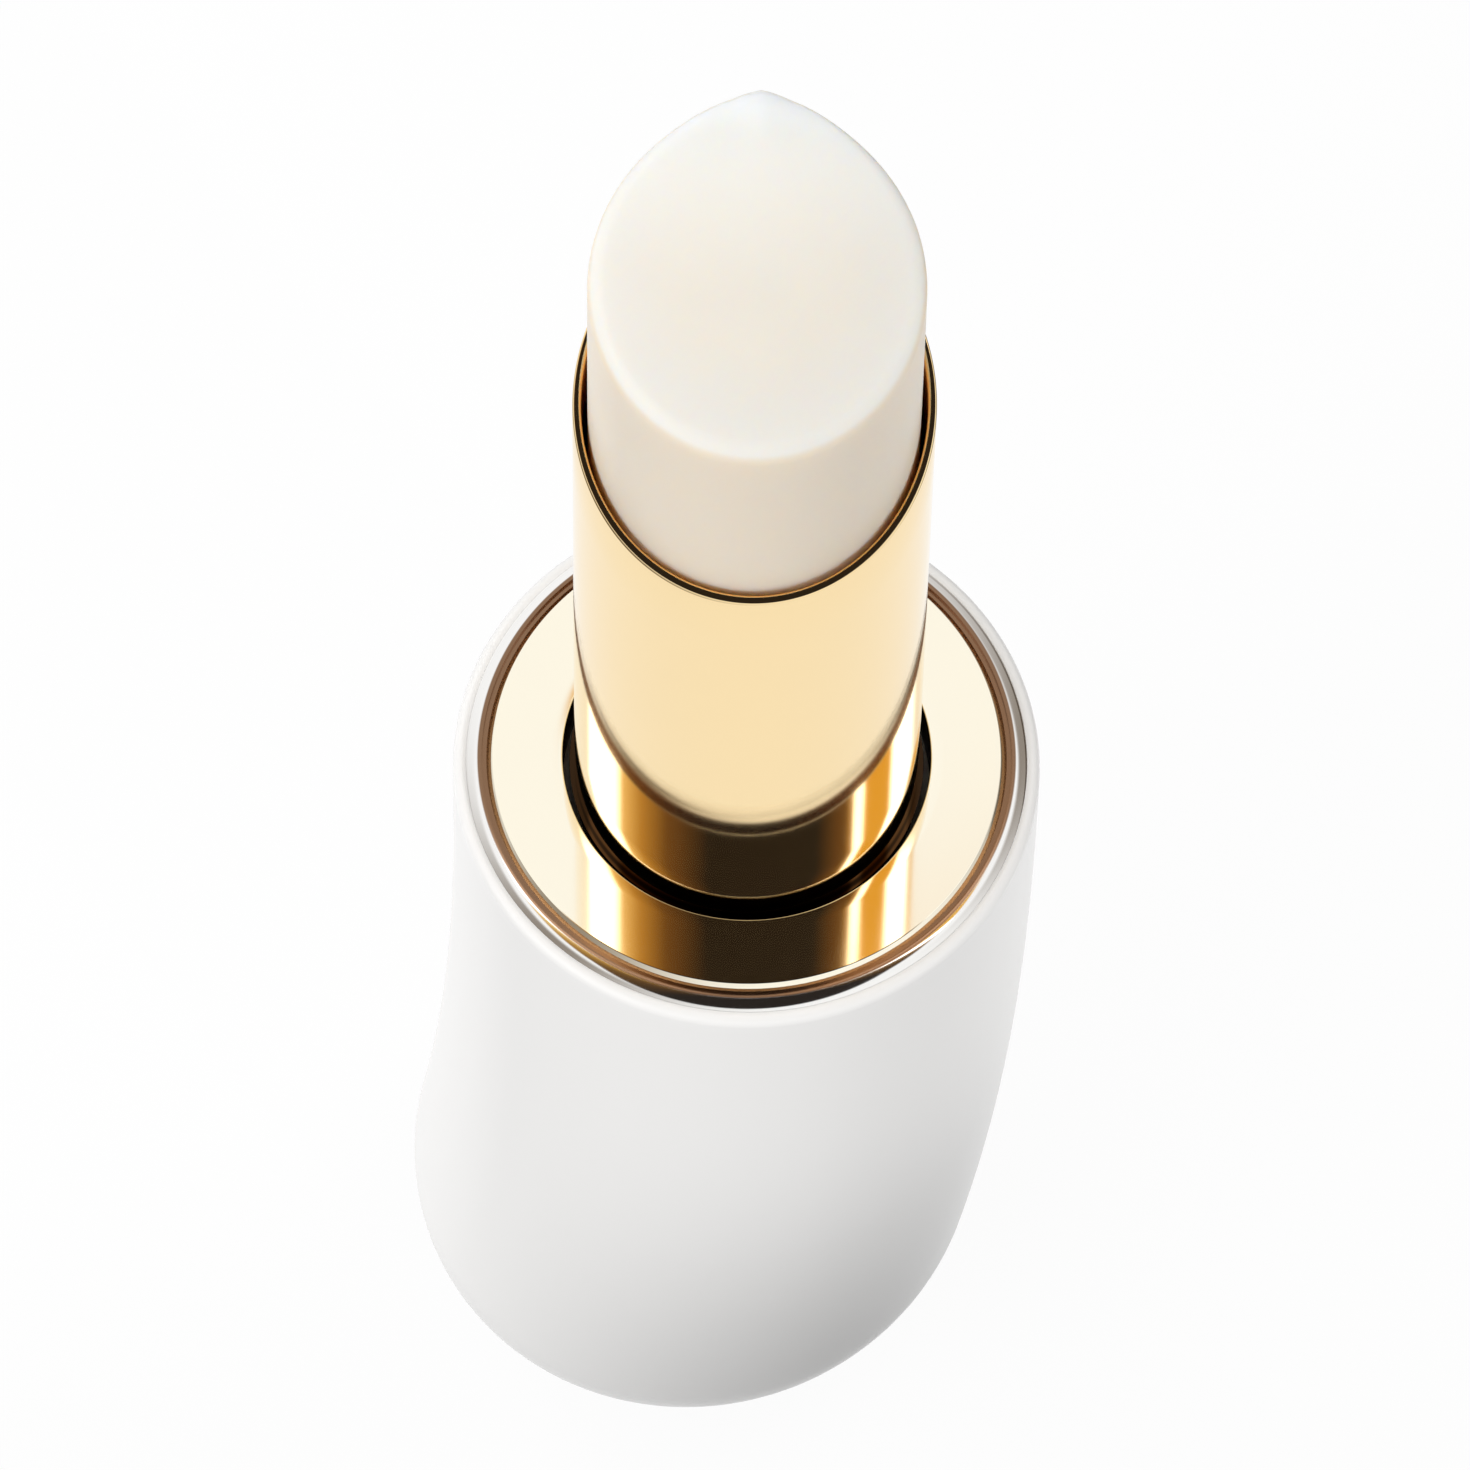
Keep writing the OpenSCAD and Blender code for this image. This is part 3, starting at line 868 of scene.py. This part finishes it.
class LIPBALM_OT_stage(Maker, bpy.types.Operator):
    """Sets up the camera, the light, the floor and what the gilding reflects"""

    bl_idname = "lipbalm.stage"
    bl_label = "Stage"

    def make(self, scene):
        s = scene.lipbalm_stage
        scene.view_settings.view_transform = "Standard"
        self.camera(scene, s)
        self.world(scene, s)
        self.floor(scene, s)
        self.screen(scene, s)
        self.flag(scene, s)
        for box in SOFTBOXES:
            softbox(scene, *box)
        snoot(scene, *SNOOT)

    def camera(self, scene, s):
        focal = IMAGE_SIDE * s.lens / 36
        across, down = (axis - IMAGE_SIDE / 2 for axis in LENS_AXIS)
        shift = Vector((across / focal, -down / focal, -1.0))
        target = Vector((0, 0, DECK_Z))
        back = Vector((0, -math.cos(s.elevation), math.sin(s.elevation)))
        data = bpy.data.cameras.new("camera")
        data.sensor_width = 36
        data.lens = s.lens
        data.clip_start = 0.01
        data.clip_end = 50
        camera = bpy.data.objects.new("camera", data)
        camera.location = target + s.distance * back
        turn = (-back).to_track_quat("-Z", "Y") @ Quaternion((0, 0, 1), CAMERA_ROLL)
        turn = turn @ shift.rotation_difference(Vector((0, 0, -1)))
        camera.rotation_mode = "QUATERNION"
        camera.rotation_quaternion = turn
        scene.collection.objects.link(camera)
        scene.camera = camera

    def world(self, scene, s):
        world = bpy.data.worlds.new("studio")
        world.use_nodes = True
        world.node_tree.nodes.clear()
        g = Graph(world.node_tree)
        seen = direct(g)
        strength = seen * (1 - s.fill) + s.fill
        light = g.node("ShaderNodeBackground", {}, {0: WHITE, 1: strength})
        g.node("ShaderNodeOutputWorld", {}, {"Surface": light})
        scene.world = world

    def floor(self, scene, s):
        """A pale floor that is white to the eye, with the screen's strips in its gloss."""
        material, g = bare("pale_floor")
        seen = direct(g)
        dim = (s.bounce, s.bounce, s.bounce, 1)
        lit = g.node("ShaderNodeBsdfDiffuse", {}, {0: g.mix(seen, dim, FLOOR_COLOR)})
        out = spread(g, g.place()).ramp(s.screen_r / 2, s.screen_r * 0.9)
        shaded = strips(g, s.shade) * out * g.node("ShaderNodeLightPath", output="Is Glossy Ray")
        color = g.mix(shaded, WHITE, rgba(s.dusk))
        glow = g.node("ShaderNodeEmission", {}, {0: color, 1: 1.0})
        both = g.node("ShaderNodeMixShader", {}, {0: seen * FLOOR_GLOW, 1: lit, 2: glow})
        g.node("ShaderNodeOutputMaterial", {}, {"Surface": both})
        mesh = sheet("floor", bmesh.ops.create_grid, x_segments=1, y_segments=1, size=FLOOR_SIDE)
        staged(scene, "floor", mesh, Vector((0, 0, -FLOOR_DROP)), Vector((0, 0, 1)), material)

    def screen(self, scene, s):
        """A low round screen that only reflections see, clear but for two soft dusky strips."""
        material, g = bare("screen")
        height = g.node("ShaderNodeSeparateXYZ", {}, {0: g.place()}, output=2)
        shaded = strips(g, s.shade) * (1 - height.ramp(s.screen_h * 0.2, s.screen_h * 0.5))
        tint = g.mix(shaded, WHITE, rgba(s.dusk))
        clear = g.node("ShaderNodeBsdfTransparent", {}, {0: tint})
        g.node("ShaderNodeOutputMaterial", {}, {"Surface": clear})
        mesh = sheet(
            "screen", bmesh.ops.create_cone, cap_ends=False, segments=96, radius1=s.screen_r,
            radius2=s.screen_r, depth=s.screen_h,
        )
        middle = Vector((0, 0, s.screen_h / 2))
        reflected(staged(scene, "screen", mesh, middle, Vector((0, 0, 1)), material))

    def flag(self, scene, s):
        """A card on the camera's side that only reflections see, banded round the zenith."""
        material, g = bare("dark_flag")
        place = g.place()
        u = g.node("ShaderNodeSeparateXYZ", {}, {0: place}, output=0)
        v = g.node("ShaderNodeSeparateXYZ", {}, {0: place}, output=1)
        over = FLAG_AWAY / math.tan(s.elevation) - v
        turn = g.node("ShaderNodeMath", {"operation": "ARCTAN2"}, {0: u, 1: over})
        stops = [(angle / 360 + 0.5, color) for angle, color in FLAG_BANDS]
        color = g.node("ShaderNodeValToRGB", {"stops": stops}, {0: turn / math.tau + 0.5})
        off_lens = (u * u + v * v) ** 0.5
        off_zenith = (u * u + over * over) ** 0.5
        card = 1 - off_lens.ramp(*FLAG_CARD)
        wing = 1 - off_zenith.ramp(*FLAG_WING)
        mask = card.at_least(wing) * off_zenith.ramp(*FLAG_HOLE)
        glow = g.node("ShaderNodeEmission", {}, {0: g.mix(mask, WHITE, color), 1: 1.0})
        g.node("ShaderNodeOutputMaterial", {}, {"Surface": glow})
        back = Vector((0, -math.cos(s.elevation), math.sin(s.elevation)))
        spot = Vector((0, 0, DECK_Z)) + back * FLAG_AWAY
        mesh = sheet(
            "flag", bmesh.ops.create_circle, cap_ends=True, segments=96, radius=FLAG_RADIUS
        )
        reflected(staged(scene, "flag", mesh, spot, back, material))


def direct(g):
    """1 for what the camera, a glossy ray or a transmission ray sees, else 0."""
    path = "ShaderNodeLightPath"
    camera = g.node(path, output="Is Camera Ray")
    glossy = g.node(path, output="Is Glossy Ray")
    through = g.node(path, output="Is Transmission Ray")
    return camera.at_least(glossy).at_least(through)


def strips(g, turn):
    """1 in the middle of two soft strips that stand on opposite sides of the stick, else 0."""
    place = g.place()
    x = g.node("ShaderNodeSeparateXYZ", {}, {0: place}, output=0)
    y = g.node("ShaderNodeSeparateXYZ", {}, {0: place}, output=1)
    along = x * math.cos(turn) + y * math.sin(turn)
    return (along * along / (x * x + y * y)) ** 2


def reflected(thing):
    """Leaves a stage object visible to glossy rays alone."""
    thing.visible_camera = False
    thing.visible_diffuse = False
    thing.visible_transmission = False
    thing.visible_shadow = False


def bare(name):
    """An empty material and the graph that fills it."""
    material = bpy.data.materials.new(name)
    material.use_nodes = True
    material.node_tree.nodes.clear()
    return material, Graph(material.node_tree)


def sheet(name, operator, **sizes):
    """The mesh that one of bmesh's operators makes."""
    work = bmesh.new()
    operator(work, **sizes)
    mesh = bpy.data.meshes.new(name)
    work.to_mesh(mesh)
    work.free()
    return mesh


def staged(scene, name, mesh, spot, facing, material):
    """Links a stage object that faces a direction."""
    mesh.materials.append(material)
    thing = bpy.data.objects.new(name, mesh)
    thing.location = spot
    thing.rotation_mode = "QUATERNION"
    thing.rotation_quaternion = facing.to_track_quat("Z", "Y")
    scene.collection.objects.link(thing)
    return thing


def lamp(scene, name, data, target, distance, azimuth, elevation, power):
    """Hangs a lamp; the azimuth is 0 on the camera's side and grows to the right."""
    turn, climb = math.radians(azimuth), math.radians(elevation)
    away = Vector((math.sin(turn), -math.cos(turn), 0)) * math.cos(climb)
    away.z = math.sin(climb)
    data.energy = power
    light = bpy.data.objects.new(name, data)
    light.location = target + away * distance
    light.rotation_mode = "QUATERNION"
    light.rotation_quaternion = (-away).to_track_quat("-Z", "Y")
    light.visible_glossy = False
    scene.collection.objects.link(light)


def softbox(scene, name, azimuth, elevation, power):
    """A broad round lamp that faces the deck."""
    data = bpy.data.lights.new(name, "AREA")
    data.shape = "DISK"
    data.size = SOFTBOX_SIZE
    deck = Vector((0, 0, DECK_Z))
    lamp(scene, name, data, deck, SOFTBOX_AWAY, azimuth, elevation, power)


def snoot(scene, name, azimuth, elevation, power):
    """A lamp whose soft pool of light ends just above the stick's foot."""
    data = bpy.data.lights.new(name, "SPOT")
    data.spot_size = SNOOT_BEAM
    data.spot_blend = SNOOT_BLEND
    data.shadow_soft_size = SNOOT_SIZE
    lamp(scene, name, data, SNOOT_AIM, SNOOT_AWAY, azimuth, elevation, power)


# Panel and registering


GROUPS = {
    "lipbalm_case": CaseSettings,
    "lipbalm_deck": DeckSettings,
    "lipbalm_sleeve": SleeveSettings,
    "lipbalm_balm": BalmSettings,
    "lipbalm_stage": StageSettings,
}
OPERATORS = [
    LIPBALM_OT_stage,
    LIPBALM_OT_case,
    LIPBALM_OT_ring,
    LIPBALM_OT_deck,
    LIPBALM_OT_sleeve,
    LIPBALM_OT_balm,
    LIPBALM_OT_inner_parts,
]


class LIPBALM_PT_panel(bpy.types.Panel):
    """Lists the pieces of the stick and what can be changed"""

    bl_idname = "LIPBALM_PT_panel"
    bl_label = "Lip Balm Stick"
    bl_space_type = "VIEW_3D"
    bl_region_type = "UI"
    bl_category = "Lip Balm"

    def draw(self, context):
        for operator in OPERATORS:
            self.layout.operator(operator.bl_idname)
        for key in GROUPS:
            group = getattr(context.scene, key)
            box = self.layout.box()
            for prop in group.__annotations__:
                box.prop(group, prop)


def register():
    for cls in [*GROUPS.values(), *OPERATORS, LIPBALM_PT_panel]:
        bpy.utils.register_class(cls)
    for key, group in GROUPS.items():
        setattr(bpy.types.Scene, key, bpy.props.PointerProperty(type=group))


def unregister():
    for key in GROUPS:
        delattr(bpy.types.Scene, key)
    for cls in reversed([*GROUPS.values(), *OPERATORS, LIPBALM_PT_panel]):
        bpy.utils.unregister_class(cls)


def main():
    register()
    for operator in OPERATORS:
        group, name = operator.bl_idname.split(".")
        getattr(getattr(bpy.ops, group), name)()
    bpy.context.view_layer.update()


if __name__ == "__main__":
    main()
